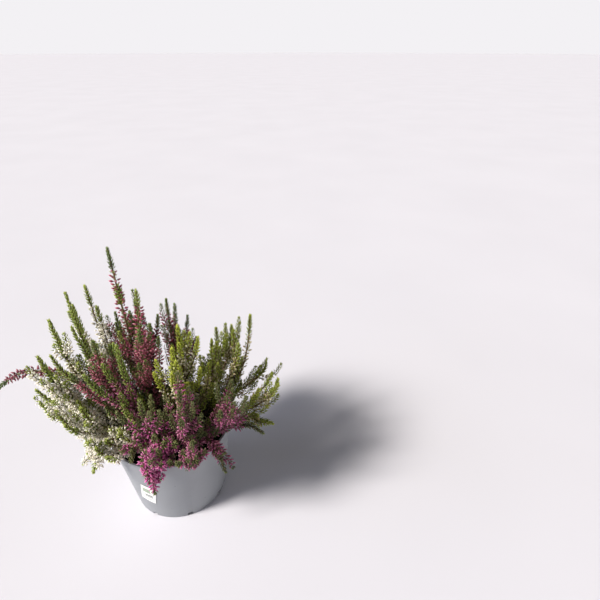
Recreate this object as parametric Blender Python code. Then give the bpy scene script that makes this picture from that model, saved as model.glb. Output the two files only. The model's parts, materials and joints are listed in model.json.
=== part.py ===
"""Potted heather: four heather plants grown together in one tapered plastic pot.

Metres, +Z up. The origin is the middle of the pot's underside, +X is the right and +Y the back.
Each leafy spray is a woody stem with its side spikes, covered with florets or needle leaves.
"""

import collections
import math
import random

import bmesh
import bpy
import numpy as np
from mathutils import Matrix, Vector
from mathutils.geometry import interpolate_bezier

MM = 0.001
GAP = 0.3 * MM

# The pot is a plain 14 cm one.
POT_HEIGHT = 104.5 * MM
RIM_RADIUS = 70 * MM
BASE_RADIUS = 55 * MM
POT_WALL = 1.5 * MM
POT_FLOOR = 2 * MM
BASE_CHAMFER = 1.2 * MM
LIP_DEPTH = 3.5 * MM
LIP_STAND = 0.8 * MM
POT_STEPS = 40
DRAIN_NOTCHES = 8
DRAIN_WIDTH = 6 * MM
DRAIN_HEIGHT = 5 * MM
DRAIN_REACH = 6 * MM

# The peat stands a little under the rim, with a hole for each stem.
SOIL_TOP = 95 * MM
SOIL_STEPS = 24
SOIL_RINGS = (0.0, 0.33, 0.68)
SOIL_BUMP = 1.1 * MM
SOIL_WAVES = (7 * MM, 9 * MM, 5 * MM)
HOLE_RADIUS = 2.4 * MM
HOLE_DEPTH = 12 * MM
HOLE_SIDES = 6

# The paper label on the front left of the wall.
LABEL_WIDTH = 19 * MM
LABEL_HEIGHT = 32 * MM
LABEL_THICKNESS = 0.4 * MM
LABEL_BEARING = math.radians(-109)
LABEL_MIDDLE = 48 * MM
LABEL_LEAN = math.radians(-15)
LABEL_STEPS = (6, 2)

# Stems and how they leave the soil.
STEM_RADIUS = 1.7 * MM
TWIG_RADIUS = 0.9 * MM
ROOT_REACH = 54 * MM
ROOT_POWER = 0.65
ROOT_SPACING = 8 * MM
ROOT_SOIL_REACH = 57 * MM
ROOT_PASSES = 60
FREE_STEM = 3 * MM
CURVE_STEPS = 40
STEM_BAND = 24 * MM
CORE_SIDES = 3

# Shares of a shoot's chord that set the handles of its curve.
OUT_LEAST = 0.26
OUT_GAIN = 0.22
OUT_MOST = 0.8
UP_NEAR = 16 * MM
LIFT_NEAR = 0.1
TURN_UP = 4
HANDLE_FAR = 0.62
DROOP_RISE = 1.35
DROOP_NEAR = 0.12
DROOP_FAR = 0.36
SIDE_HANDLE = 0.33
SIDE_OUT = 1.4
SIDE_BACK = 0.4
SIDE_UPRIGHT = 2

# Needles raised from the core: how far out and up each one points, and how tall a band of them is.
Cover = collections.namedtuple("Cover", "core out up band")
FLORETS = Cover(2.6 * MM, 3.9 * MM, 3 * MM, 10 * MM)
LEAVES = Cover(1.8 * MM, 2.8 * MM, 3.2 * MM, 7.5 * MM)
NECK_RADIUS = 1.2 * MM
TIP_POINT = 3 * MM
TIP_TAPER = 0.55

# Side spikes take the direction, out of those tried, that stays clearest of every other spike.
SIDE_STARTS = (0.34, 0.5, 0.42)
SIDE_START_DRIFT = 0.03
SIDE_TURNS = 12
SIDE_SPREADS = (15, 20, 26)
SIDE_LENGTHS = (0.72, 0.92)
SIDE_GREEN = 0.8
SIDE_GREEN_MOST = 0.4
SIDE_BARE = 0.2
CLEAR_ENOUGH = 15 * MM
CLEAR_LEAST = 10.5 * MM
OWN_FROM = 0.55
OWN_EASE = 1.2
SAMPLES = 24
WALL_HEIGHTS = (1, 0.85, 0.7)
WALL_STEPS = 90

# Each shoot: tip x, y, z, length of green tip, share where florets start, side spikes, droop.
Shoot = collections.namedtuple("Shoot", "x y z green bare sides droop")
SHOOTS = {
    "white": (
        Shoot(-91, 15, 268, 85, 0.38, 2, 0),
        Shoot(-85, 45, 261, 24, 0.42, 2, 0),
        Shoot(-104, -5, 247, 48, 0.40, 2, 0),
        Shoot(-113, -27, 217, 42, 0.40, 2, 0),
        Shoot(-138, -14, 145, 26, 0.35, 2, 0),
        Shoot(-96, -52, 168, 25, 0.30, 3, 0),
        Shoot(-66, -70, 100, 12, 0.40, 2, 28),
        Shoot(-50, -78, 143, 14, 0.26, 3, 0),
    ),
    "crimson": (
        Shoot(-46, 35, 310, 24, 0.42, 1, 0),
        Shoot(-36, 52, 238, 20, 0.40, 2, 0),
        Shoot(-201, 15, 142, 18, 0.45, 0, 44),
        Shoot(-55, -24, 234, 16, 0.28, 2, 0),
        Shoot(-14, -6, 236, 16, 0.26, 2, 0),
        Shoot(-75, 80, 205, 20, 0.36, 2, 0),
        Shoot(-15, 95, 215, 20, 0.36, 2, 0),
        Shoot(-104, 70, 140, 20, 0.36, 1, 0),
        Shoot(0, 118, 150, 20, 0.36, 2, 0),
    ),
    "magenta": (
        Shoot(1, -86, 87, 12, 0.36, 2, 34),
        Shoot(-22, -72, 119, 10, 0.30, 0, 16),
        Shoot(-24, -40, 240, 46, 0.22, 3, 0),
        Shoot(-2, -66, 193, 22, 0.16, 3, 0),
        Shoot(14, -86, 150, 12, 0.22, 2, 0),
        Shoot(36, -62, 202, 14, 0.18, 3, 0),
        Shoot(52, -90, 146, 16, 0.24, 2, 0),
        Shoot(112, -40, 126, 24, 0.36, 1, 12),
        Shoot(73, -68, 98, 14, 0.40, 1, 30),
        Shoot(86, -50, 195, 16, 0.24, 2, 0),
    ),
    "lime": (
        Shoot(21, 12, 230, 30, 0.26, 2, 0),
        Shoot(24, -26, 227, 34, 0.18, 3, 0),
        Shoot(54, 20, 206, 24, 0.28, 2, 0),
        Shoot(97, 35, 229, 24, 0.36, 2, 0),
        Shoot(128, 0, 166, 24, 0.34, 2, 0),
        Shoot(121, -20, 120, 20, 0.36, 0, 8),
        Shoot(68, 74, 190, 22, 0.36, 2, 0),
        Shoot(62, 104, 139, 22, 0.36, 1, 0),
        Shoot(110, 60, 142, 22, 0.36, 1, 0),
    ),
}
FUSED_TIPS = {
    "white": (7, 8),
    "crimson": (4, 7, 8, 9),
    "magenta": (1, 2, 5, 7, 9),
    "lime": (6, 7, 8, 9),
}
JOIN_SOLVER = "MANIFOLD"
SEED = 11

LINEAR_COLOURS = {
    "pot": (0.30, 0.33, 0.37),
    "soil": (0.02, 0.014, 0.01),
    "label": (0.85, 0.85, 0.83),
    "white_florets": (0.80, 0.76, 0.64),
    "crimson_florets": (0.30, 0.03, 0.09),
    "magenta_florets": (0.50, 0.06, 0.34),
    "lime_florets": (0.78, 0.77, 0.68),
    "white_leaves": (0.11, 0.25, 0.04),
    "crimson_leaves": (0.04, 0.10, 0.03),
    "magenta_leaves": (0.13, 0.18, 0.08),
    "lime_leaves": (0.35, 0.48, 0.05),
}


def clear_scene():
    for obj in list(bpy.data.objects):
        bpy.data.objects.remove(obj, do_unlink=True)


def material(name, roughness):
    made = bpy.data.materials.new(name)
    made.use_nodes = True
    shader = made.node_tree.nodes["Principled BSDF"]
    shader.inputs["Base Color"].default_value = (*LINEAR_COLOURS[name], 1)
    shader.inputs["Roughness"].default_value = roughness
    shader.inputs["Metallic"].default_value = 0
    return made


def object_from(bm, name, look=None):
    bmesh.ops.recalc_face_normals(bm, faces=bm.faces)
    mesh = bpy.data.meshes.new(name)
    bm.to_mesh(mesh)
    bm.free()
    obj = bpy.data.objects.new(name, mesh)
    bpy.context.scene.collection.objects.link(obj)
    if look:
        mesh.materials.append(look)
    return obj


def apply_boolean(obj, tools, operation, solver="EXACT"):
    """Cuts or joins the tools, then removes them with their collection."""
    group = bpy.data.collections.new("tools")
    bpy.context.scene.collection.children.link(group)
    for tool in tools:
        bpy.context.scene.collection.objects.unlink(tool)
        group.objects.link(tool)
    modifier = obj.modifiers.new("Boolean", "BOOLEAN")
    modifier.operation = operation
    modifier.operand_type = "COLLECTION"
    modifier.collection = group
    modifier.solver = solver
    bpy.context.view_layer.update()
    graph = bpy.context.evaluated_depsgraph_get()
    joined = bpy.data.meshes.new_from_object(obj.evaluated_get(graph))
    obj.modifiers.remove(modifier)
    obj.data = joined
    joined.name = obj.name
    for tool in tools:
        bpy.data.objects.remove(tool, do_unlink=True)
    bpy.data.collections.remove(group)


def wall_radius(z):
    """Outer radius of the plain wall at a height."""
    return BASE_RADIUS + (RIM_RADIUS - LIP_STAND - BASE_RADIUS) * z / POT_HEIGHT


def turned(profile, steps):
    """A solid turned about Z from a profile that starts and ends on the axis."""
    bm = bmesh.new()
    points = [bm.verts.new((radius, 0, z)) for radius, z in profile]
    edges = [bm.edges.new(pair) for pair in zip(points, points[1:])]
    bmesh.ops.spin(
        bm,
        geom=points + edges,
        axis=(0, 0, 1),
        cent=(0, 0, 0),
        steps=steps,
        angle=2 * math.pi,
        use_merge=True,
    )
    bmesh.ops.remove_doubles(bm, verts=bm.verts, dist=0.01 * MM)
    return bm


def make_pot():
    under_lip = POT_HEIGHT - LIP_DEPTH
    profile = [
        (0, 0),
        (BASE_RADIUS - BASE_CHAMFER, 0),
        (wall_radius(BASE_CHAMFER), BASE_CHAMFER),
        (wall_radius(under_lip), under_lip),
        (RIM_RADIUS, under_lip + LIP_STAND),
        (RIM_RADIUS, POT_HEIGHT),
        (wall_radius(POT_HEIGHT) - POT_WALL, POT_HEIGHT),
        (wall_radius(POT_FLOOR) - POT_WALL, POT_FLOOR),
        (0, POT_FLOOR),
    ]
    pot = object_from(turned(profile, POT_STEPS), "pot", material("pot", 0.5))
    notches = []
    for index in range(DRAIN_NOTCHES):
        bearing = 2 * math.pi * (index + 0.5) / DRAIN_NOTCHES
        bm = bmesh.new()
        bmesh.ops.create_cube(bm, size=1)
        bmesh.ops.scale(bm, vec=(DRAIN_REACH * 2, DRAIN_WIDTH, DRAIN_HEIGHT * 2), verts=bm.verts)
        bmesh.ops.translate(bm, vec=(BASE_RADIUS, 0, 0), verts=bm.verts)
        bmesh.ops.rotate(bm, verts=bm.verts, matrix=Matrix.Rotation(bearing, 3, "Z"))
        notches.append(object_from(bm, f"notch_{index}"))
    apply_boolean(pot, notches, "DIFFERENCE")
    pot.data.shade_smooth()
    pot.data.set_sharp_from_angle(angle=math.radians(30))


def soil_height(x, y):
    """Crumbly peat: gentle bumps that keep clear of the rim."""
    along, across, fine = SOIL_WAVES
    wave = math.sin(x / along + 1.3) * math.cos(y / across)
    return SOIL_TOP + SOIL_BUMP * (wave + 0.6 * math.sin((x + y) / fine))


def make_soil(roots):
    outer = wall_radius(SOIL_TOP) - POT_WALL - 2 * GAP
    bottom = POT_FLOOR + GAP
    lower = wall_radius(bottom) - POT_WALL - 2 * GAP
    profile = [(0, bottom), (lower, bottom), (outer, SOIL_TOP)]
    profile += [(outer * share, SOIL_TOP) for share in reversed(SOIL_RINGS)]
    bm = turned(profile, SOIL_STEPS)
    for vert in bm.verts:
        if vert.co.z > SOIL_TOP - GAP and math.hypot(vert.co.x, vert.co.y) < outer - GAP:
            vert.co.z = soil_height(vert.co.x, vert.co.y)
    soil = object_from(bm, "soil", material("soil", 0.95))
    holes = []
    for index, root in enumerate(roots):
        bm = bmesh.new()
        bmesh.ops.create_cone(
            bm, cap_ends=True, segments=HOLE_SIDES, radius1=HOLE_RADIUS, radius2=HOLE_RADIUS, depth=2 * HOLE_DEPTH
        )
        bmesh.ops.translate(bm, vec=(root.x, root.y, SOIL_TOP), verts=bm.verts)
        holes.append(object_from(bm, f"hole_{index}"))
    apply_boolean(soil, holes, "DIFFERENCE")


def make_label():
    """A thin sheet wrapped on the cone of the wall, turned a little on it."""
    bm = bmesh.new()
    bmesh.ops.create_grid(bm, x_segments=LABEL_STEPS[0], y_segments=LABEL_STEPS[1], size=0.5)
    turn = Matrix.Rotation(LABEL_LEAN, 2)
    for vert in bm.verts:
        across, along = turn @ Vector((vert.co.x * LABEL_WIDTH, vert.co.y * LABEL_HEIGHT))
        z = LABEL_MIDDLE + along
        radius = wall_radius(z) + GAP
        bearing = LABEL_BEARING + across / radius
        vert.co = (radius * math.cos(bearing), radius * math.sin(bearing), z)
    bmesh.ops.recalc_face_normals(bm, faces=bm.faces)
    first = next(iter(bm.faces))
    if first.normal.dot(first.calc_center_median()) < 0:
        bmesh.ops.reverse_faces(bm, faces=bm.faces)
    bmesh.ops.solidify(bm, geom=bm.faces, thickness=-LABEL_THICKNESS)
    object_from(bm, "label", material("label", 0.6))


class Path:
    """A smooth curve read at distances along it."""

    def __init__(self, points):
        self.points = np.array([tuple(point) for point in points])
        steps = np.linalg.norm(np.diff(self.points, axis=0), axis=1)
        self.marks = np.concatenate([[0], np.cumsum(steps)])
        self.length = self.marks[-1]

    def at(self, distance):
        return Vector([np.interp(distance, self.marks, self.points[:, axis]) for axis in range(3)])

    def heading(self, distance):
        step = 1 * MM
        ahead = min(distance + step, self.length)
        behind = max(distance - step, 0)
        return (self.at(ahead) - self.at(behind)).normalized()

    def samples(self, start, count=SAMPLES):
        return np.array([self.at(self.length * share) for share in np.linspace(start, 1, count)])


def tip_of(shoot):
    return Vector((shoot.x, shoot.y, shoot.z)) * MM


def place_roots(shoots):
    """Roots stand further out the more a shoot leans, then are eased apart in the soil."""
    roots = []
    for shoot in shoots:
        tip = tip_of(shoot)
        reach = math.hypot(tip.x, tip.y)
        lean = math.atan2(reach, tip.z - SOIL_TOP) / (math.pi / 2)
        share = min(ROOT_REACH * lean**ROOT_POWER, ROOT_SOIL_REACH) / reach
        roots.append(Vector((tip.x * share, tip.y * share)))
    for _ in range(ROOT_PASSES):
        for index, root in enumerate(roots):
            for other in roots[index + 1 :]:
                apart = other - root
                short = ROOT_SPACING - apart.length
                if short > 0:
                    push = apart.normalized() * short / 2
                    other += push
                    root -= push
        for root in roots:
            if root.length > ROOT_SOIL_REACH:
                root.length = ROOT_SOIL_REACH
    return roots


def main_path(root, shoot):
    """Straight up out of the soil, outwards, then turning up to the tip or drooping to it."""
    foot = Vector((root.x, root.y, SOIL_TOP - HOLE_DEPTH + GAP))
    start = Vector((root.x, root.y, SOIL_TOP + FREE_STEM))
    tip = tip_of(shoot)
    chord = tip - start
    outwards = Vector((chord.x, chord.y, 0))
    if shoot.droop:
        rise = Vector((0, 0, shoot.droop * MM * DROOP_RISE))
        near = start + outwards * DROOP_NEAR + rise
        far = tip - outwards * DROOP_FAR + rise
    else:
        spread = min(OUT_LEAST + OUT_GAIN * chord.z / outwards.length, OUT_MOST)
        near = start + outwards * spread + Vector((0, 0, UP_NEAR + chord.z * LIFT_NEAR))
        heading = (chord.normalized() + Vector((0, 0, TURN_UP))).normalized()
        far = tip - heading * chord.z * HANDLE_FAR
    return Path([foot, *interpolate_bezier(start, near, far, tip, CURVE_STEPS)])


def side_path(main, begin, turn, spread, share):
    """A spike that leaves the main one at a distance and ends beside its tip."""
    start = main.at(begin)
    chord = main.at(main.length) - start
    across = chord.orthogonal().normalized()
    across.rotate(Matrix.Rotation(turn, 3, chord))
    tip = chord.copy()
    tip.rotate(Matrix.Rotation(spread, 3, across))
    tip = start + tip * share
    reach = (tip - start).length
    out = ((tip - start).normalized() * SIDE_OUT - main.heading(begin) * SIDE_BACK).normalized()
    near = start + out * reach * SIDE_HANDLE
    far = tip - (main.heading(main.length) * SIDE_UPRIGHT + out).normalized() * reach * SIDE_HANDLE
    return Path(interpolate_bezier(start, near, far, tip, CURVE_STEPS))


def pot_obstacles():
    """Points on the rim and the wall that a spike has to stay clear of."""
    points = []
    for share in WALL_HEIGHTS:
        height = POT_HEIGHT * share
        radius = wall_radius(height)
        for step in range(WALL_STEPS):
            bearing = 2 * math.pi * step / WALL_STEPS
            points.append((radius * math.cos(bearing), radius * math.sin(bearing), height))
    return np.array(points)


def nearest(points, others):
    return np.linalg.norm(points[:, None] - others[None], axis=2).min()


def choose_sides(mains, shoots):
    """The paths of each shoot's side spikes."""
    draw = random.Random(SEED)
    taken = {index: main.samples(0.2) for index, main in enumerate(mains)}
    obstacles = pot_obstacles()
    chosen = [[] for _ in mains]
    for level in range(max(shoot.sides for shoot in shoots)):
        for index, main in enumerate(mains):
            if level >= shoots[index].sides:
                continue
            begin = main.length * (SIDE_STARTS[level] + draw.uniform(-SIDE_START_DRIFT, SIDE_START_DRIFT))
            share = draw.uniform(*SIDE_LENGTHS)
            phase = draw.uniform(0, 2 * math.pi)
            others = np.concatenate([obstacles] + [points for key, points in taken.items() if key != index])
            best = (0, None)
            for step in range(SIDE_TURNS):
                for spread in SIDE_SPREADS:
                    turn = phase + 2 * math.pi * step / SIDE_TURNS
                    path = side_path(main, begin, turn, math.radians(spread), share)
                    own = nearest(path.samples(OWN_FROM), taken[index])
                    clear = min(nearest(path.samples(0.25), others), CLEAR_ENOUGH, own * OWN_EASE)
                    if clear > best[0]:
                        best = (clear, path)
            if best[0] > CLEAR_LEAST:
                chosen[index].append(best[1])
                taken[index] = np.concatenate([taken[index], best[1].samples(0.1)])
    return chosen


def fill_hollows(obj):
    """Fills the small closed hollows that joined needles leave inside: only the outer skin stays."""
    bm = bmesh.new()
    bm.from_mesh(obj.data)
    unseen = set(bm.verts)
    skins = []
    while unseen:
        skin = [unseen.pop()]
        for vert in skin:
            beside = {edge.other_vert(vert) for edge in vert.link_edges} & unseen
            unseen -= beside
            skin += beside
        skins.append(skin)
    skins.sort(key=len)
    for hollow in skins[:-1]:
        bmesh.ops.delete(bm, geom=hollow, context="VERTS")
    bm.to_mesh(obj.data)
    bm.free()


def ring(path, distance, radius, turn, sideways):
    """The corners of the core at a distance along the path."""
    centre = path.at(distance)
    heading = path.heading(distance)
    right = (sideways - heading * sideways.dot(heading)).normalized()
    front = heading.cross(right)
    corners = []
    for corner in range(CORE_SIDES):
        angle = turn + 2 * math.pi * corner / CORE_SIDES
        corners.append(centre + right * radius * math.cos(angle) + front * radius * math.sin(angle))
    return corners


def bands(begin, end, cover, from_radius, to_radius):
    """Bands of one cover between two distances: (distance, radius, cover) at each band's top."""
    count = max(1, round((end - begin) / (cover.band if cover else STEM_BAND)))
    rows = []
    for step in range(1, count + 1):
        share = step / count
        rows.append((begin + (end - begin) * share, from_radius + (to_radius - from_radius) * share, cover))
    return rows


def set_corners(face, corners):
    for vert, corner in zip(face.verts, corners):
        vert.co = corner


def raise_needles(bm, top, path, distance, cover):
    """Splits the band under the top face into triangles and raises a needle from each one."""
    around = [face for edge in top.edges for face in edge.link_faces if face is not top]
    split = bmesh.ops.triangulate(bm, faces=around, quad_method="SHORT_EDGE")
    centres = bmesh.ops.poke(bm, faces=split["faces"])["verts"]
    middle = path.at(distance - cover.band / 2)
    heading = path.heading(distance - cover.band / 2)
    for vert in centres:
        outwards = vert.co - middle
        outwards -= heading * outwards.dot(heading)
        vert.co += outwards.normalized() * cover.out + heading * cover.up


def grow(path, begin, radius, rows, pointed, sideways):
    """A three-sided core extruded along the path, with needles raised from each covered band."""
    bm = bmesh.new()
    bmesh.ops.create_circle(bm, cap_ends=True, segments=CORE_SIDES, radius=radius)
    base = bm.faces[:][0]
    set_corners(base, ring(path, begin, radius, 0, sideways))
    made = bmesh.ops.extrude_face_region(bm, geom=[base])["geom"]
    top = next(item for item in made if isinstance(item, bmesh.types.BMFace))
    turn = 0
    for index, (distance, band_radius, cover) in enumerate(rows):
        if index:
            top = bmesh.ops.extrude_discrete_faces(bm, faces=[top])["faces"][0]
        if cover:
            turn += math.pi / CORE_SIDES
        set_corners(top, ring(path, distance, band_radius, turn, sideways))
        if cover:
            raise_needles(bm, top, path, distance, cover)
    if pointed:
        peak = bmesh.ops.poke(bm, faces=[top])["verts"][0]
        peak.co += path.heading(path.length) * TIP_POINT
    return bm


def green_rows(begin, end):
    return bands(begin, end, LEAVES, LEAVES.core, LEAVES.core * TIP_TAPER)


def floret_rows(begin, end):
    rows = bands(begin, end, FLORETS, FLORETS.core, FLORETS.core * 0.8)
    distance, _, cover = rows[-1]
    rows[-1] = (distance, NECK_RADIUS, cover)
    return rows


def make_spray(name, shoot, main, sides, looks, fused_tip):
    """One spray: the main spike with its side spikes joined in, and its green tip beside it."""
    florets, leaves = looks
    bearing = math.atan2(shoot.y, shoot.x)
    sideways = Vector((-math.sin(bearing), math.cos(bearing), 0))
    foot = HOLE_DEPTH - GAP + FREE_STEM
    green_from = main.length - shoot.green * MM
    bare_to = foot + (green_from - foot) * shoot.bare
    rows = [(foot, STEM_RADIUS, None)]
    rows += bands(foot, bare_to, None, STEM_RADIUS, NECK_RADIUS)
    rows += floret_rows(bare_to, green_from)
    if fused_tip:
        rows += green_rows(green_from, main.length)
    bm = grow(main, 0, STEM_RADIUS, rows, fused_tip, sideways)
    spray = object_from(bm, f"{name[0]}_spray_{name[1]:02d}", florets)
    joined = []
    for index, path in enumerate(sides):
        green = min(shoot.green * MM * SIDE_GREEN, path.length * SIDE_GREEN_MOST)
        bare = path.length * SIDE_BARE
        rows = bands(0, bare, None, TWIG_RADIUS, NECK_RADIUS)
        rows += floret_rows(bare, path.length - green)
        rows += green_rows(path.length - green, path.length)
        bm = grow(path, 0, TWIG_RADIUS, rows, True, sideways)
        joined.append(object_from(bm, f"side_{index}"))
    if joined:
        apply_boolean(spray, joined, "UNION", JOIN_SOLVER)
        fill_hollows(spray)
    if not fused_tip:
        tip_from = green_from + GAP
        bm = grow(main, tip_from, NECK_RADIUS, green_rows(tip_from, main.length), True, sideways)
        object_from(bm, f"{name[0]}_tip_{name[1]:02d}", leaves)


def make_plants():
    """All sprays of the four plants. Returns the roots, where the soil has its holes."""
    named = [((plant, number + 1), shoot) for plant, rows in SHOOTS.items() for number, shoot in enumerate(rows)]
    shoots = [shoot for _, shoot in named]
    roots = place_roots(shoots)
    mains = [main_path(root, shoot) for root, shoot in zip(roots, shoots)]
    sides = choose_sides(mains, shoots)
    looks = {
        plant: (material(f"{plant}_florets", 0.6), material(f"{plant}_leaves", 0.55)) for plant in SHOOTS
    }
    for (name, shoot), main, own in zip(named, mains, sides):
        make_spray(name, shoot, main, own, looks[name[0]], name[1] in FUSED_TIPS[name[0]])
    return roots


def main():
    clear_scene()
    roots = make_plants()
    make_pot()
    make_soil(roots)
    make_label()


main()
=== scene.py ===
"""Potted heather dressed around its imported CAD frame.

Metres, +Z up. The origin is the middle of the pot's underside, +X is the right and +Y the back.
Each spray, tip, pot, soil and label node is replaced by a finer piece that keeps its form.
"""

import collections
import json
import random
from math import atan2, cos, hypot, pi, radians, sin, sqrt

import bmesh
import bpy
import numpy as np
from mathutils import Matrix, Vector, noise
from mathutils.geometry import interpolate_bezier

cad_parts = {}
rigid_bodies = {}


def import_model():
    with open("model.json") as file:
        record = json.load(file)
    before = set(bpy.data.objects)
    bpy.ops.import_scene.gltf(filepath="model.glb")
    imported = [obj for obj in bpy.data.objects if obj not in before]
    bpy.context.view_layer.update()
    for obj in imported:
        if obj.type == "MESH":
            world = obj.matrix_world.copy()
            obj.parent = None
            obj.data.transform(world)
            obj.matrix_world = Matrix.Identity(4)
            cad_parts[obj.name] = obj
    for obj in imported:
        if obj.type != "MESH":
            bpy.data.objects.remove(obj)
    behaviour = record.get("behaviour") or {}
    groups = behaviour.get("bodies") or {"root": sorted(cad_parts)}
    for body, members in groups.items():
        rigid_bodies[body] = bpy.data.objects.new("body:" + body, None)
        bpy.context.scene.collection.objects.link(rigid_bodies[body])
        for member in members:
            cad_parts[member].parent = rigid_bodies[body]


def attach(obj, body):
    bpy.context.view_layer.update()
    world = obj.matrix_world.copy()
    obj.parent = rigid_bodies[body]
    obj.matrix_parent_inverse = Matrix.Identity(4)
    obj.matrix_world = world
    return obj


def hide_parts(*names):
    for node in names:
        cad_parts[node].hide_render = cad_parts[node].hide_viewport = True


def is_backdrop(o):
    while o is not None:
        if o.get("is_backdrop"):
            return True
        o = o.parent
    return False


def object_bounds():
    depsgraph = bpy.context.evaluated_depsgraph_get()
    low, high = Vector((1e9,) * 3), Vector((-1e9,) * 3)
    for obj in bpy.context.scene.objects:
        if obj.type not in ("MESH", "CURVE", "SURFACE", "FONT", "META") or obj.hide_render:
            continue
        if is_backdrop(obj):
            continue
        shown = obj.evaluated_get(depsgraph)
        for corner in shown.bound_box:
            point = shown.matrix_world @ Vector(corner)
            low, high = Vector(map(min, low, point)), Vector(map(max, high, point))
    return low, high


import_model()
CAD_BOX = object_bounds()

MM = 0.001
GAP = 0.3 * MM

# The pot, as in the CAD.
POT_HEIGHT = 104.5 * MM
RIM_RADIUS = 70 * MM
BASE_RADIUS = 55 * MM
POT_WALL = 1.5 * MM
POT_FLOOR = 2 * MM
BASE_CHAMFER = 1.2 * MM
LIP_DEPTH = 3.5 * MM
LIP_STAND = 0.8 * MM
POT_STEPS = 144
DRAIN_NOTCHES = 8
DRAIN_WIDTH = 6 * MM
DRAIN_HEIGHT = 5 * MM
DRAIN_REACH = 6 * MM
EDGE_ROUND = 0.35 * MM
EDGE_SEGMENTS = 3
EDGE_TURN = radians(20)
SHARP_TURN = radians(40)

# The peat.
SOIL_TOP = 95 * MM
SOIL_BUMP = 1.1 * MM
SOIL_WAVES = (7 * MM, 9 * MM, 5 * MM)
SOIL_SHIFT = 1.3
SOIL_FINE = 0.6
SOIL_STEPS = 96
SOIL_RINGS = 26
SOIL_GRAIN = 0.9 * MM
GRAIN_WAVES = (2.4 * MM, 1.1 * MM)
CRUMBS = 520
CRUMB_SEED = 77
CRUMB_INSET = 3 * MM
CRUMB_SIZES = (0.5, 1.6)
CRUMB_TURNS = (0, 6.28)
CRUMB_SHAPE = (0.8, 0.6)
CRUMB_WAVE = 3
CRUMB_ROUGH = 0.35
CRUMB_LIFT = 0.2

# The paper label.
LABEL_WIDTH = 19 * MM
LABEL_HEIGHT = 32 * MM
LABEL_THICKNESS = 0.25 * MM
LABEL_BEARING = radians(-109)
LABEL_MIDDLE = 48 * MM
LABEL_LEAN = radians(-15)
LABEL_STEPS = (20, 30)
PAPER = "#E6E6E3"
# What is printed on it: left, right, low and high as shares of it, and the ink.
PRINT = (
    (0.12, 0.62, 0.58, 0.84, "#9DAA97"),
    (0.30, 0.80, 0.38, 0.46, "#6E736F"),
    (0.30, 0.80, 0.30, 0.345, "#7E847F"),
    (0.12, 0.86, 0.18, 0.205, "#A2A6A2"),
    (0.12, 0.70, 0.11, 0.135, "#A2A6A2"),
)

# Stems and how they leave the soil, as in the CAD.
HOLE_DEPTH = 12 * MM
STEM_RADIUS = 1.7 * MM
TWIG_RADIUS = 0.9 * MM
ROOT_REACH = 54 * MM
ROOT_POWER = 0.65
ROOT_SPACING = 8 * MM
ROOT_SOIL_REACH = 57 * MM
ROOT_PASSES = 60
FREE_STEM = 3 * MM
CURVE_STEPS = 40
OUT_LEAST = 0.26
OUT_GAIN = 0.22
OUT_MOST = 0.8
UP_NEAR = 16 * MM
LIFT_NEAR = 0.1
TURN_UP = 4
HANDLE_FAR = 0.62
DROOP_RISE = 1.35
DROOP_NEAR = 0.12
DROOP_FAR = 0.36
SIDE_HANDLE = 0.33
SIDE_OUT = 1.4
SIDE_BACK = 0.4
SIDE_UPRIGHT = 2

# Side spikes, as in the CAD.
SIDE_STARTS = (0.34, 0.5, 0.42)
SIDE_START_DRIFT = 0.03
SIDE_TURNS = 12
SIDE_SPREADS = (15, 20, 26)
SIDE_LENGTHS = (0.72, 0.92)
SIDE_GREEN = 0.8
SIDE_GREEN_MOST = 0.4
SIDE_BARE = 0.2
CLEAR_ENOUGH = 15 * MM
CLEAR_LEAST = 10.5 * MM
OWN_FROM = 0.55
OWN_EASE = 1.2
SAMPLES = 24
MAIN_FROM = 0.2
SIDE_FROM = 0.25
TAKEN_FROM = 0.1
WALL_HEIGHTS = (1, 0.85, 0.7)
WALL_STEPS = 90
SEED = 11

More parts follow.
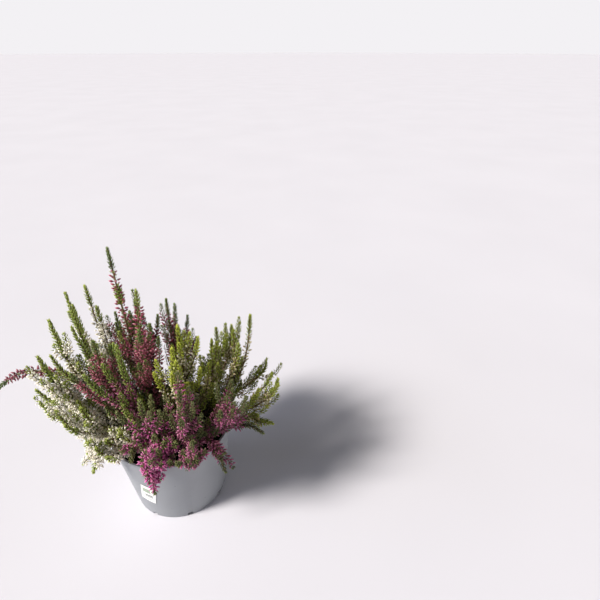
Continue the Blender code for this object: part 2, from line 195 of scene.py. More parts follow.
# Each shoot: tip x, y, z, length of green tip, share where florets start, side spikes, droop.
Shoot = collections.namedtuple("Shoot", "x y z green bare sides droop")
SHOOTS = {
    "white": (
        (-91, 15, 268, 85, 0.38, 2, 0),
        (-85, 45, 261, 24, 0.42, 2, 0),
        (-104, -5, 247, 48, 0.40, 2, 0),
        (-113, -27, 217, 42, 0.40, 2, 0),
        (-138, -14, 145, 26, 0.35, 2, 0),
        (-96, -52, 168, 25, 0.30, 3, 0),
        (-66, -70, 100, 12, 0.40, 2, 28),
        (-50, -78, 143, 14, 0.26, 3, 0),
    ),
    "crimson": (
        (-46, 35, 310, 24, 0.42, 1, 0),
        (-36, 52, 238, 20, 0.40, 2, 0),
        (-201, 15, 142, 18, 0.45, 0, 44),
        (-55, -24, 234, 16, 0.28, 2, 0),
        (-14, -6, 236, 16, 0.26, 2, 0),
        (-75, 80, 205, 20, 0.36, 2, 0),
        (-15, 95, 215, 20, 0.36, 2, 0),
        (-104, 70, 140, 20, 0.36, 1, 0),
        (0, 118, 150, 20, 0.36, 2, 0),
    ),
    "magenta": (
        (1, -86, 87, 12, 0.36, 2, 34),
        (-22, -72, 119, 10, 0.30, 0, 16),
        (-24, -40, 240, 46, 0.22, 3, 0),
        (-2, -66, 193, 22, 0.16, 3, 0),
        (14, -86, 150, 12, 0.22, 2, 0),
        (36, -62, 202, 14, 0.18, 3, 0),
        (52, -90, 146, 16, 0.24, 2, 0),
        (112, -40, 126, 24, 0.36, 1, 12),
        (73, -68, 98, 14, 0.40, 1, 30),
        (86, -50, 195, 16, 0.24, 2, 0),
    ),
    "lime": (
        (21, 12, 230, 30, 0.26, 2, 0),
        (24, -26, 227, 34, 0.18, 3, 0),
        (54, 20, 206, 24, 0.28, 2, 0),
        (97, 35, 229, 24, 0.36, 2, 0),
        (128, 0, 166, 24, 0.34, 2, 0),
        (121, -20, 120, 20, 0.36, 0, 8),
        (68, 74, 190, 22, 0.36, 2, 0),
        (62, 104, 139, 22, 0.36, 1, 0),
        (110, 60, 142, 22, 0.36, 1, 0),
    ),
}
FUSED_TIPS = {
    "white": (7, 8),
    "crimson": (4, 7, 8, 9),
    "magenta": (1, 2, 5, 7, 9),
    "lime": (6, 7, 8, 9),
}
# Shoots whose whorls of florets stand apart, with how many times further apart they are.
LOOSE = {
    ("crimson", 1): 1.8,
    ("white", 1): 1.4,
    ("white", 2): 1.3,
    ("magenta", 3): 1.4,
    ("lime", 4): 1.3,
}
# Shoots whose florets and leaves have turned duller, and how much older they look.
DULLED = {("magenta", number) for number in (3, 6, 7, 8, 9, 10)}
DULLED |= {("lime", number) for number in range(3, 10)}
DULLED_AGE = 0.6

# How a plant's florets and leaves grow, in mm, degrees and shares.
# ring: gap between whorls; opened: share of open florets; needle, broad: a needle's size;
# inner: length of the leaves among the florets; leafy: share of a twig that is a growing tip.
Habit = collections.namedtuple(
    "Habit", "ring count length width tilt opened needle broad inner leafy"
)
HABITS = {
    "white": Habit(2.5, 4, 7.0, 2.6, 54, 0.45, 5.8, 2.0, 3.9, 0.30),
    "crimson": Habit(2.7, 4, 6.3, 2.1, 54, 0.15, 5.4, 1.9, 3.7, 0.26),
    "magenta": Habit(2.5, 4, 6.9, 2.0, 56, 0.12, 5.4, 1.9, 3.5, 0.13),
    "lime": Habit(4.4, 4, 6.8, 2.4, 50, 0.40, 5.8, 2.1, 5.0, 0.46),
}
# Where a shoot differs from its plant.
OWN_HABITS = {
    ("white", 4): {"leafy": 0.2},
    ("white", 5): {"leafy": 0.12, "inner": 3.2, "opened": 0.6},
    ("white", 6): {"leafy": 0.12, "inner": 3.2, "opened": 0.6},
    ("white", 7): {"leafy": 0.03, "inner": 3.0, "opened": 0.6},
    ("white", 8): {"leafy": 0.08, "inner": 3.0, "opened": 0.6},
    ("crimson", 1): {"leafy": 0.4, "length": 7.8, "width": 2.9, "opened": 0.4, "tilt": 62},
    ("crimson", 3): {"length": 7.6, "width": 2.7, "tilt": 62},
    ("crimson", 4): {"leafy": 0.12},
    ("crimson", 5): {"leafy": 0.14},
    ("crimson", 8): {"leafy": 0.12},
    ("magenta", 1): {"length": 7.8, "width": 2.3, "leafy": 0.04, "tilt": 62},
    ("magenta", 5): {"leafy": 0.05},
    ("magenta", 3): {"leafy": 0.5, "needle": 6.0, "broad": 2.1},
    ("magenta", 4): {"leafy": 0.5, "ring": 3.2, "inner": 4.6},
    ("magenta", 6): {"leafy": 0.24, "ring": 2.8, "inner": 4.2},
    ("magenta", 7): {"leafy": 0.12, "ring": 2.8, "inner": 4.2},
    ("magenta", 9): {"leafy": 0.1},
    ("magenta", 8): {"leafy": 0.3, "ring": 3.0, "inner": 4.4},
    ("magenta", 10): {"leafy": 0.24, "ring": 3.0, "inner": 4.4},
}

# Small shapes that are copied all over, a unit long: their rings of (height, radius), and bends.
NEEDLE_RINGS = ((0.3, 0.5), (0.7, 0.36))
SMALL_NEEDLE_RINGS = ((0.4, 0.5),)
NEEDLE_FLAT = 0.6
NEEDLE_BEND = 0.14
BUD_RINGS = ((0.24, 0.08), (0.48, 0.5), (0.78, 0.36))
STALK_RINGS = ((0.2, 0.07),)
STALK_HEIGHT = 0.4
SEPALS = 4
SEPAL_RINGS = ((0.5, 0.3),)
SEPAL_FLAT = 0.45
SEPAL_LENGTH = 0.72
SEPAL_LEAN = radians(-22)
SEPAL_FOOT = (0, 0.04, 0.28)

# Rings of needles and florets: shares of the gap between two rings, and turns in radians.
FIRST_RING = (0.2, 0.7)
RING_DRIFT = (-0.2, 0.2)
RING_GAPS = (0.85, 1.15)
RING_SWING = 0.08
NEEDLE_SWING = 0.14
FOOT_OUT = 0.4 * MM

# Tints run from 0, fresh, to 1, old.
TINT_SPREAD = 0.24
FLORET_TINT_SPREAD = 0.26
TIP_TINT = 0.45
TIP_FRESHER = 0.3
CROWN_TINT = 0.1
FLORET_TINT = 0.55
FLORET_FRESHER = 0.35

# A growing tip, which a crown of short needles closes. Tilts are in degrees.
NEEDLE_RING = 2.3 * MM
NEEDLE_COUNT = 4
NEEDLE_TILTS = (46, 24)
NEEDLE_TILT_SPREAD = 5
NEEDLE_LENGTHS = (0.85, 1.12)
TIP_SHORTER = 0.3
TIP_NARROWER = 0.15
CROWN_COUNT = 5
CROWN_SWING = (-0.3, 0.3)
CROWN_TILTS = (6, 18)
CROWN_LENGTH = 3.8 * MM
CROWN_NARROW = 0.85
CROWN_DEPTH = 0.5 * MM

# A flowering length: its florets, and the needles among them near its end.
FLORET_TILT_SPREAD = 9
FLORET_SIZES = (0.82, 1.1)
SMALLER_FROM = 0.8
SMALLER_GAIN = 1.4
CLOSED_FROM = 0.85
AMONG_FROM = 0.55
AMONG_GAIN = 3

# Short leaves along the wood, among the florets and below them: gap between rings, leaves a ring,
# tilt and its spread, least and greatest length, width, tint and its spread, in mm and degrees.
Sleeve = collections.namedtuple("Sleeve", "ring count tilt lengths width tint")
INNER_LEAVES = Sleeve(3.1, 4, (42, 8), (0.8, 1.15), 1.1, (0.7, 0.24))
OLD_LEAVES = Sleeve(4.2, 3, (48, 12), (2.6, 4), 1.0, (0.9, 0.1))
OLD_FROM = 4 * MM

# Tufts of leaves among the florets of a main shoot: how far from its tip they start and end, in mm.
TUFTS = {("crimson", 1): (66, 44)}
TUFT_RING = 0.8

# Full needles part of the way up a shoot: least and greatest tilt in degrees and share of the length,
# share of the width, tint and its spread.
Needles = collections.namedtuple("Needles", "tilts lengths broad tint")
AMONG = Needles((38, 54), (0.85, 1.05), 1, (0.4, 0.24))
TUFT = Needles((46, 64), (1.15, 1.4), 1.2, (0.3, 0.2))

# Wood: steps along it, sides round it, and how much thinner it ends.
STEM_STEP = 5 * MM
STEM_SIDES = 8
SPIKE_SIDES = 6
SPIKE_THIN = 0.7
TIP_THIN = 0.6
SEAM_SHARE = 0.98
CAP_FROM = 0.499
CAP_AROUND = 0.4
CAP_ALONG = 0.02

# Side twigs.
TWIGS = {"white": 21, "crimson": 19, "magenta": 19, "lime": 18}
TWIG_REACH = (18 * MM, 44 * MM)
TWIG_SPREAD = (25, 50)
TWIG_STARTS = (0.13, 0.78)
TWIG_STARTS_BARE = (0.13, 0.5)
BARE_FROM_LOOSE = 1.3
TWIG_STARTS_FULL = (0.3, 0.74)
FULL_TWIGS = 30
TWIG_LOW = {"white": 0.16, "crimson": 0.3, "magenta": 0.16, "lime": 0.3}
TWIG_FLOWERING = {"white": 0.93, "crimson": 0.8, "magenta": 0.8, "lime": 0.75}
TWIG_LIFT = 1.3
TWIG_OUT = 0.55
TWIG_UP = 0.5
TWIG_NEAR = 0.4
TWIG_FAR = 0.35
TWIG_STEPS = 9
TWIG_RADII = (0.55 * MM, 0.4 * MM)
TWIG_SIDES = 3
TWIG_BARE = 0.15
# One twig in eight is a longer one that has finished flowering and grown on green.
GROWN_ON = 0.12
GROWN_ON_REACH = 1.2
GROWN_ON_LEAFY = 0.38
INNER_TWIGS = 9
INNER_STARTS = (0.12, 0.5)
DROOPING_TWIG = 0.5
# A twig in the dark has old leaves up to its middle, and a dull tip from a little below that.
DARK_BARE = 0.1
DARK_LEAVES_TO = 0.5
DARK_GREEN_FROM = 0.4
DARK_AGE = 0.3
# How far a twig keeps from the rim, the inside of the wall, the soil and the sides of the CAD box.
RIM_CLEAR = 6 * MM
WALL_CLEAR = 9 * MM
SOIL_CLEAR = 3 * MM
HANG_LEAST = 0.7
FREE_FROM = 0.3
FREE_SAMPLES = 6
BOX_EASE = 1.5 * MM
# Shoots with the leaves of another plant of the four.
LEAVES_OF = {("magenta", 3): "white", ("crimson", 1): "white"}
TIP_LEAVES_OF = {("magenta", 3): "white"}
# The one shoot that strays far out from the rest, and the one whose flowers run on to its very end.
STRAY = ("crimson", 3)
ALL_FLOWER = ("magenta", 1)
ALL_FLOWER_TIP = 4
PLANT_SEED = 1000

# The one map of a piece: across it a finish and a tint, up it the way from base to point.
UV_NAME = "OFBake"
Zone = collections.namedtuple("Zone", "start width")
LEAF_ZONE = Zone(0.0, 0.32)
FLORET_ZONE = Zone(0.36, 0.32)
WOOD_ZONE = Zone(0.72, 0.28)
# The tint's share of the map; on needles and florets the rest is a painted shade, dark to one side.
TINT_SHARE = 0.8
# The turn of that painted shade round each needle and floret, in radians.
SHADE_TURN = 0.35
LEAF, WOOD, FLORET = range(3)
TOUCHING = 0.001

# Each finish that runs from base to point: what the real one is, its roughness, and the stops of
# (place, hex value) of its fresh and of its old tint.
# Heather needles are small evergreen leaves with a thin wax skin: a low soft gloss, paler points.
NEEDLES = {
    "white": (
        "heather_needle_mid_green",
        0.5,
        [(0, "#4F6418"), (0.45, "#8FA23A"), (1, "#C8CE72")],
        [(0, "#2E4010"), (0.5, "#5E7424"), (1, "#94A346")],
    ),
    "crimson": (
        "heather_needle_dark_green",
        0.5,
        [(0, "#2A3A12"), (0.5, "#587030"), (1, "#94A252")],
        [(0, "#18220A"), (0.5, "#364818"), (1, "#606E2E")],
    ),
    "magenta": (
        "heather_needle_grey_green",
        0.55,
        [(0, "#36401C"), (0.5, "#68743E"), (1, "#A4A66C")],
        [(0, "#202810"), (0.5, "#465024"), (1, "#747848")],
    ),
    "lime": (
        "heather_needle_lime",
        0.5,
        [(0, "#70841A"), (0.4, "#AEBC2A"), (1, "#DADE66")],
        [(0, "#36440E"), (0.5, "#647426"), (1, "#949E3E")],
    ),
}
# Heather florets are dry papery sepals around a small bell: matt, with a faint silky edge.
FLORETS = {
    "white": (
        "heather_floret_cream_white",
        0.7,
        [(0, "#A8B078"), (0.25, "#EFEBD8"), (0.6, "#FCF9EE"), (1, "#FFFDF4")],
        [(0, "#6A6E3C"), (0.3, "#D6CCAE"), (0.7, "#F0E8D4"), (1, "#E2D4B4")],
    ),
    "crimson": (
        "heather_floret_crimson",
        0.68,
        [(0, "#46161E"), (0.3, "#882E48"), (0.7, "#B04A64"), (1, "#DA98A6")],
        [(0, "#34141A"), (0.3, "#622434"), (0.7, "#803A48"), (1, "#A8707A")],
    ),
    "magenta": (
        "heather_floret_magenta",
        0.68,
        [(0, "#6A1C4A"), (0.3, "#B03484"), (0.7, "#CE56A0"), (1, "#EAA0CA")],
        [(0, "#3A1420"), (0.3, "#6C2A44"), (0.7, "#8C465E"), (1, "#B07C88")],
    ),
    "lime": (
        "heather_floret_pure_white",
        0.7,
        [(0, "#8C9440"), (0.25, "#D8D4A0"), (0.6, "#F2ECD2"), (1, "#FBF6E4")],
        [(0, "#565426"), (0.3, "#887C4C"), (0.7, "#AC9C70"), (1, "#A08C60")],
    ),
}
FLORET_SHEEN = 0.1
# Heather wood is thin grey-brown bark, paler towards the end of each length.
BARK = (
    "heather_bark",
    0.85,
    [(0, "#2E2018"), (0.5, "#4A3426"), (1, "#6E5A3A")],
    [(0, "#4A3A2E"), (0.5, "#6E5644"), (1, "#7A6A48")],
)

# The studio, in metres: the floor, the camera, and each soft lamp with the bearing it comes from,
# its height over the floor, strength, softness and tone.
FLOOR_RADIUS = 30
FLOOR_SIDES = 64
CAMERA_PLACE = (0.153, -0.395, 0.495)
CAMERA_DOWN = 29.7
CAMERA_LENS = 27
CAMERA_SENSOR = 36
CAMERA_FAR = 100
LIGHTS = (("key", -64, 40, 4.6, 16, "#FFF8EE"), ("left_sky", -72, 12, 1.4, 50, "#DCE6FF"))


def linear(code):
    """An sRGB hex value as linear red, green, blue and alpha."""
    parts = [int(code[index : index + 2], 16) / 255 for index in (1, 3, 5)]
    parts = [part / 12.92 if part <= 0.04045 else ((part + 0.055) / 1.055) ** 2.4 for part in parts]
    return (*parts, 1)


def add_node(tree, kind, settings=None, links=None, stops=None, **attributes):
    """Adds a node with its settings, its links and, on a ramp, its stops of (place, hex value)."""
    made = tree.nodes.new("ShaderNode" + kind)
    for name, value in attributes.items():
        setattr(made, name, value)
    for name, value in (settings or {}).items():
        made.inputs[name].default_value = value
    for name, source in (links or {}).items():
        tree.links.new(source, made.inputs[name])
    if stops:
        elements = made.color_ramp.elements
        elements.remove(elements[1])
        elements[0].position = stops[0][0]
        elements[0].color = linear(stops[0][1])
        for place, code in stops[1:]:
            elements.new(place).color = linear(code)
    return made


def new_material(name, **sockets):
    """A material and its shader, with what is the same all over set on the shader's own sockets."""
    made = bpy.data.materials.new(name)
    made.use_nodes = True
    shader = made.node_tree.nodes["Principled BSDF"]
    for socket, value in sockets.items():
        shader.inputs[socket.replace("_", " ").title().replace("Ior", "IOR")].default_value = value
    return made, made.node_tree, shader.inputs


def grown_material(zone, sheen, name, roughness, fresh, old):
    """A finish that runs from base to point, between a fresh and an old tint."""
    made, tree, surface = new_material(name, roughness=roughness, sheen_weight=sheen)
    place = add_node(tree, "UVMap", uv_map=UV_NAME)
    split = add_node(tree, "SeparateXYZ", links={"Vector": place.outputs["UV"]})
    tint = add_node(
        tree,
        "MapRange",
        {"From Min": zone.start, "From Max": zone.start + zone.width},
        {"Value": split.outputs["X"]},
    )
    blend = {"Factor": tint.outputs["Result"]}
    for side, stops in (("A", fresh), ("B", old)):
        ramp = add_node(tree, "ValToRGB", links={"Fac": split.outputs["Y"]}, stops=stops)
        blend[side] = ramp.outputs["Color"]
    mixed = add_node(tree, "Mix", links=blend, data_type="RGBA")
    tree.links.new(mixed.outputs["Result"], surface["Base Color"])
    return made


def make_materials():
    """Every finish, by the name that the pieces ask for."""
    looks = {
        "wood": grown_material(WOOD_ZONE, 0, *BARK),
        "peat": peat_material(),
        "plastic": pot_material(),
        "paper": label_material(),
        "floor": floor_material(),
    }
    for plant in HABITS:
        looks[f"{plant}_leaf"] = grown_material(LEAF_ZONE, 0, *NEEDLES[plant])
        looks[f"{plant}_floret"] = grown_material(FLORET_ZONE, FLORET_SHEEN, *FLORETS[plant])
    return looks


def peat_material():
    """Moist garden peat: near black, matt, with brown fibres a millimetre or two long."""
    made, tree, surface = new_material("moist_peat", roughness=0.95, specular_ior_level=0.25)
    place = add_node(tree, "TexCoord").outputs["Object"]
    fibres = add_node(
        tree,
        "TexNoise",
        {"Scale": 1 / (1.6 * MM), "Detail": 4, "Roughness": 0.65},
        {"Vector": place},
    )
    colour = add_node(
        tree,
        "ValToRGB",
        links={"Fac": fibres.outputs["Fac"]},
        stops=[(0.3, "#0B0806"), (0.55, "#1A120D"), (0.72, "#3A2819"), (0.85, "#5A4430")],
    )
    bump = add_node(
        tree, "Bump", {"Strength": 0.7, "Distance": 0.5 * MM}, {"Height": fibres.outputs["Fac"]}
    )
    tree.links.new(colour.outputs["Color"], surface["Base Color"])
    tree.links.new(bump.outputs["Normal"], surface["Normal"])
    return made


def pot_material():
    """Moulded polypropylene: a satin grey with a fine grain, faint handling marks and peat dust."""
    name = "moulded_grey_polypropylene"
    made, tree, surface = new_material(name, ior=1.49, specular_ior_level=0.4)
    place = add_node(tree, "TexCoord").outputs["Object"]
    cloud = add_node(
        tree, "TexNoise", {"Scale": 1 / (38 * MM), "Detail": 3, "Roughness": 0.5}, {"Vector": place}
    )
    base = add_node(
        tree,
        "ValToRGB",
        links={"Fac": cloud.outputs["Fac"]},
        stops=[(0.3, "#888B8F"), (0.7, "#929599")],
    )
    specks = add_node(tree, "TexVoronoi", {"Scale": 1 / (9 * MM)}, {"Vector": place})
    dots = add_node(
        tree,
        "MapRange",
        {"From Min": 0.035, "From Max": 0.06, "To Min": 0.75, "To Max": 0},
        {"Value": specks.outputs["Distance"]},
    )
    dusted = add_node(
        tree,
        "Mix",
        {"B": linear("#3A332C")},
        {"Factor": dots.outputs["Result"], "A": base.outputs["Color"]},
        data_type="RGBA",
    )
    tree.links.new(dusted.outputs["Result"], surface["Base Color"])
    rub = add_node(
        tree,
        "MapRange",
        {"From Min": 0.3, "From Max": 0.7, "To Min": 0.42, "To Max": 0.56},
        {"Value": cloud.outputs["Fac"]},
    )
    tree.links.new(rub.outputs["Result"], surface["Roughness"])
    grain = add_node(tree, "TexNoise", {"Scale": 1 / (0.8 * MM), "Detail": 2}, {"Vector": place})
    bump = add_node(
        tree, "Bump", {"Strength": 0.12, "Distance": 0.1 * MM}, {"Height": grain.outputs["Fac"]}
    )
    tree.links.new(bump.outputs["Normal"], surface["Normal"])
    return made


def label_material():
    """Coated label paper: white and smooth, with a plain block and a few plain bars printed on."""
    made, tree, surface = new_material("coated_label_paper", roughness=0.55)
    place = add_node(tree, "UVMap", uv_map=UV_NAME)
    split = add_node(tree, "SeparateXYZ", links={"Vector": place.outputs["UV"]})
    colour = None
    for left, right, low, high, ink in PRINT:
        spans = {}
        for side, (axis, start, end) in enumerate((("X", left, right), ("Y", low, high))):
            span = add_node(
                tree,
                "Math",
                {1: (start + end) / 2, 2: (end - start) / 2},
                {0: split.outputs[axis]},
                operation="COMPARE",
            )
            spans[side] = span.outputs[0]
        both = add_node(tree, "Math", links=spans, operation="MULTIPLY")
        mixed = add_node(
            tree,
            "Mix",
            {"A": linear(PAPER), "B": linear(ink)},
            {"Factor": both.outputs[0]},
            data_type="RGBA",
        )
        if colour:
            tree.links.new(colour, mixed.inputs["A"])
        colour = mixed.outputs["Result"]
    tree.links.new(colour, surface["Base Color"])
    return made


def floor_material():
    """Matt studio board: pale and plain."""
    made, tree, surface = new_material("matt_studio_board", roughness=0.9, specular_ior_level=0.1)
    place = add_node(tree, "TexCoord").outputs["Object"]
    mottle = add_node(tree, "TexNoise", {"Scale": 3}, {"Vector": place})
    colour = add_node(
        tree,
        "ValToRGB",
        links={"Fac": mottle.outputs["Fac"]},
        stops=[(0.3, "#DFDFE8"), (0.7, "#E2E2EB")],
    )
    tree.links.new(colour.outputs["Color"], surface["Base Color"])
    return made


class Path:
    """A smooth curve read at distances along it."""

    def __init__(self, points, sideways=None):
        self.points = np.array([tuple(point) for point in points])
        steps = np.linalg.norm(np.diff(self.points, axis=0), axis=1)
        self.marks = np.concatenate([[0], np.cumsum(steps)])
        self.length = self.marks[-1]
        self.sideways = sideways

    def read(self, distances):
        axes = [np.interp(distances, self.marks, axis) for axis in self.points.T]
        return np.stack(axes, axis=-1)

    def at(self, distance):
        return Vector(self.read(distance))

    def heading(self, distance):
        step = 1 * MM
        ahead = min(distance + step, self.length)
        behind = max(distance - step, 0)
        return (self.at(ahead) - self.at(behind)).normalized()

    def samples(self, start):
        return np.array([self.at(self.length * share) for share in np.linspace(start, 1, SAMPLES)])

    def frames(self, distances):
        """Centre, heading, right and front at each distance, a row each."""
        step = 1 * MM
        ahead = self.read(np.minimum(distances + step, self.length))
        heading = ahead - self.read(np.maximum(distances - step, 0))
        heading /= np.linalg.norm(heading, axis=1, keepdims=True)
        right = self.sideways - heading * (heading @ self.sideways)[:, None]
        right /= np.linalg.norm(right, axis=1, keepdims=True)
        over = np.maximum(distances - self.length, 0)[:, None]
        return self.read(distances) + heading * over, heading, right, np.cross(heading, right)


def wall_radius(z):
    """Outer radius of the plain wall at a height."""
    return BASE_RADIUS + (RIM_RADIUS - LIP_STAND - BASE_RADIUS) * z / POT_HEIGHT


def tip_of(shoot):
    return Vector((shoot.x, shoot.y, shoot.z)) * MM


def place_roots(shoots):
    """Roots stand further out the more a shoot leans, then are eased apart in the soil."""
    roots = []
    for shoot in shoots:
        tip = tip_of(shoot)
        reach = hypot(tip.x, tip.y)
        lean = atan2(reach, tip.z - SOIL_TOP) / (pi / 2)
        share = min(ROOT_REACH * lean**ROOT_POWER, ROOT_SOIL_REACH) / reach
        roots.append(Vector((tip.x * share, tip.y * share)))
    for _ in range(ROOT_PASSES):
        for index, root in enumerate(roots):
            for other in roots[index + 1 :]:
                apart = other - root
                short = ROOT_SPACING - apart.length
                if short > 0:
                    push = apart.normalized() * short / 2
                    other += push
                    root -= push
        for root in roots:
            if root.length > ROOT_SOIL_REACH:
                root.length = ROOT_SOIL_REACH
    return roots


def main_path(root, shoot):
    """Straight up out of the soil, outwards, then turning up to the tip or drooping to it."""
    foot = Vector((root.x, root.y, SOIL_TOP - HOLE_DEPTH + GAP))
    start = Vector((root.x, root.y, SOIL_TOP + FREE_STEM))
    tip = tip_of(shoot)
    chord = tip - start
    outwards = Vector((chord.x, chord.y, 0))
    if shoot.droop:
        rise = Vector((0, 0, shoot.droop * MM * DROOP_RISE))
        near = start + outwards * DROOP_NEAR + rise
        far = tip - outwards * DROOP_FAR + rise
    else:
        spread = min(OUT_LEAST + OUT_GAIN * chord.z / outwards.length, OUT_MOST)
        near = start + outwards * spread + Vector((0, 0, UP_NEAR + chord.z * LIFT_NEAR))
        heading = (chord.normalized() + Vector((0, 0, TURN_UP))).normalized()
        far = tip - heading * chord.z * HANDLE_FAR
    return Path([foot, *interpolate_bezier(start, near, far, tip, CURVE_STEPS)])


def side_path(main, begin, turn, spread, share):
    """A spike that leaves the main one at a distance and ends beside its tip."""
    start = main.at(begin)
    chord = main.at(main.length) - start
    across = chord.orthogonal().normalized()
    across.rotate(Matrix.Rotation(turn, 3, chord))
    tip = chord.copy()
    tip.rotate(Matrix.Rotation(spread, 3, across))
    tip = start + tip * share
    reach = (tip - start).length
    out = ((tip - start).normalized() * SIDE_OUT - main.heading(begin) * SIDE_BACK).normalized()
    near = start + out * reach * SIDE_HANDLE
    far = tip - (main.heading(main.length) * SIDE_UPRIGHT + out).normalized() * reach * SIDE_HANDLE
    return Path(interpolate_bezier(start, near, far, tip, CURVE_STEPS))


def pot_obstacles():
    """Points on the rim and the wall that a spike has to stay clear of."""
    points = []
    for share in WALL_HEIGHTS:
        height = POT_HEIGHT * share
        radius = wall_radius(height)
        for step in range(WALL_STEPS):
            bearing = 2 * pi * step / WALL_STEPS
            points.append((radius * cos(bearing), radius * sin(bearing), height))
    return np.array(points)


def nearest(points, others):
    return np.linalg.norm(points[:, None] - others[None], axis=2).min()


def choose_sides(mains, shoots):
    """The paths of each shoot's side spikes."""
    draw = random.Random(SEED)
    taken = {index: main.samples(MAIN_FROM) for index, main in enumerate(mains)}
    obstacles = pot_obstacles()
    chosen = [[] for _ in mains]
    for level in range(max(shoot.sides for shoot in shoots)):
        for index, main in enumerate(mains):
            if level >= shoots[index].sides:
                continue
            drift = draw.uniform(-SIDE_START_DRIFT, SIDE_START_DRIFT)
            begin = main.length * (SIDE_STARTS[level] + drift)
            share = draw.uniform(*SIDE_LENGTHS)
            phase = draw.uniform(0, 2 * pi)
            others = [points for key, points in taken.items() if key != index]
            others = np.concatenate([obstacles] + others)
            best = (0, None)
            for step in range(SIDE_TURNS):
                for spread in SIDE_SPREADS:
                    turn = phase + 2 * pi * step / SIDE_TURNS
                    path = side_path(main, begin, turn, radians(spread), share)
                    own = nearest(path.samples(OWN_FROM), taken[index]) * OWN_EASE
                    clear = min(nearest(path.samples(SIDE_FROM), others), CLEAR_ENOUGH, own)
                    if clear > best[0]:
                        best = (clear, path)
            if best[0] > CLEAR_LEAST:
                chosen[index].append(best[1])
                taken[index] = np.concatenate([taken[index], best[1].samples(TAKEN_FROM)])
    return chosen


def mesh_of(bm, name):
    """Writes a bmesh to a mesh, and frees it."""
    mesh = bpy.data.meshes.new(name)
    bm.to_mesh(mesh)
    bm.free()
    return mesh


def join(bm, part):
    """Adds one bmesh to another, and frees it."""
    mesh = mesh_of(part, "part")
    bm.from_mesh(mesh)
    bpy.data.meshes.remove(mesh)


def new_object(name, data):
    """An object at the origin, linked to the scene."""
    made = bpy.data.objects.new(name, data)
    bpy.context.scene.collection.objects.link(made)
    return made


def spindle(sides, rings, flat=1.0, bend=0.0):
    """A closed pointed shape from the origin up to (0, 0, 1), with rings of (height, radius)."""
    bm = bmesh.new()
    bmesh.ops.create_uvsphere(bm, u_segments=sides, v_segments=len(rings) + 1, radius=1)
    levels = sorted({round(vert.co.z, 4) for vert in bm.verts})
    for level, (height, radius) in zip(levels, ((0, 0), *rings, (1, 0))):
        ring = [vert for vert in bm.verts if abs(vert.co.z - level) < TOUCHING]
        span = ring[0].co.xy.length
        if span > TOUCHING:
            bmesh.ops.scale(bm, vec=(radius / span, radius / span * flat, 1), verts=ring)
        bmesh.ops.translate(bm, vec=(0, bend * height**2, height - level), verts=ring)
    return bm


def opened_floret():
    """A short stalk under four sepals that stand open around the bell."""
    bm = spindle(3, STALK_RINGS)
    bmesh.ops.scale(bm, vec=(1, 1, STALK_HEIGHT), verts=bm.verts)
    lean = Matrix.Rotation(SEPAL_LEAN, 3, "X")
    for index in range(SEPALS):
        sepal = spindle(4, SEPAL_RINGS, flat=SEPAL_FLAT)
        turn = Matrix.Rotation(2 * pi * index / SEPALS, 3, "Z")
        bmesh.ops.scale(sepal, vec=(1, 1, SEPAL_LENGTH), verts=sepal.verts)
        bmesh.ops.rotate(sepal, verts=sepal.verts, matrix=lean)
        bmesh.ops.translate(sepal, vec=SEPAL_FOOT, verts=sepal.verts)
        bmesh.ops.rotate(sepal, verts=sepal.verts, matrix=turn)
        join(bm, sepal)
    return bm


class Stamp:
    """A small mesh copied many times. Each copy gets a place, a size, a tint and a painted shade."""

    def __init__(self, name, bm, zone, finish):
        layer = bm.loops.layers.uv.new(UV_NAME)
        for face in bm.faces:
            face.smooth = True
            face.material_index = finish
            for loop in face.loops:
                x, y, z = loop.vert.co
                # Painted shade: the tint turns a little darker to one side of the copy.
                off_axis = hypot(x, y) > TOUCHING
                shade_swing = cos(atan2(y, x) + SHADE_TURN) if off_axis else 0
                share = (1 - TINT_SHARE) * (0.5 + 0.5 * shade_swing)
                loop[layer].uv = (zone.start + zone.width * share, min(max(z, 0), 1))
        self.mesh = mesh_of(bm, name)
        self.zone = zone
        self.points = np.array([vert.co[:] for vert in self.mesh.vertices])
        self.map = self.mesh.uv_layers[UV_NAME].uv
        self.corners = np.array([corner.vector[:] for corner in self.map])

    def copy_to(self, bm, turn, place, tint):
        points = self.points @ turn.T + place
        corners = self.corners + (self.zone.width * TINT_SHARE * tint, 0)
        self.mesh.vertices.foreach_set("co", points.astype(np.float32).ravel())
        self.map.foreach_set("vector", corners.astype(np.float32).ravel())
        bm.from_mesh(self.mesh)


def make_stamps():
    """The small shapes that cover the shoots."""
    needle = spindle(4, NEEDLE_RINGS, NEEDLE_FLAT, NEEDLE_BEND)
    small_needle = spindle(4, SMALL_NEEDLE_RINGS, NEEDLE_FLAT)
    return {
        "needle": Stamp("needle", needle, LEAF_ZONE, LEAF),
        "small_needle": Stamp("small_needle", small_needle, LEAF_ZONE, LEAF),
        "bud": Stamp("bud", spindle(4, BUD_RINGS), FLORET_ZONE, FLORET),
        "opened": Stamp("opened", opened_floret(), FLORET_ZONE, FLORET),
    }


def stand(bm, stamp, path, rows):
    """Stands copies around a path. A row is distance, turn, tilt, length, width and tint."""
    if not rows:
        return
    distance, turn, tilt, length, width, tint = np.array(rows).T
    centre, heading, right, front = path.frames(distance)
    turn, tilt, length, width = turn[:, None], tilt[:, None], length[:, None], width[:, None]
    outwards = right * np.cos(turn) + front * np.sin(turn)
    along = heading * np.cos(tilt) + outwards * np.sin(tilt)
    inner = heading * np.sin(tilt) - outwards * np.cos(tilt)
    across = np.cross(inner, along)
    shapes = np.stack([across * width, inner * width, along * length], axis=2)
    for shape, place, shade in zip(shapes, centre + outwards * FOOT_OUT, tint):
        stamp.copy_to(bm, shape, place, shade)


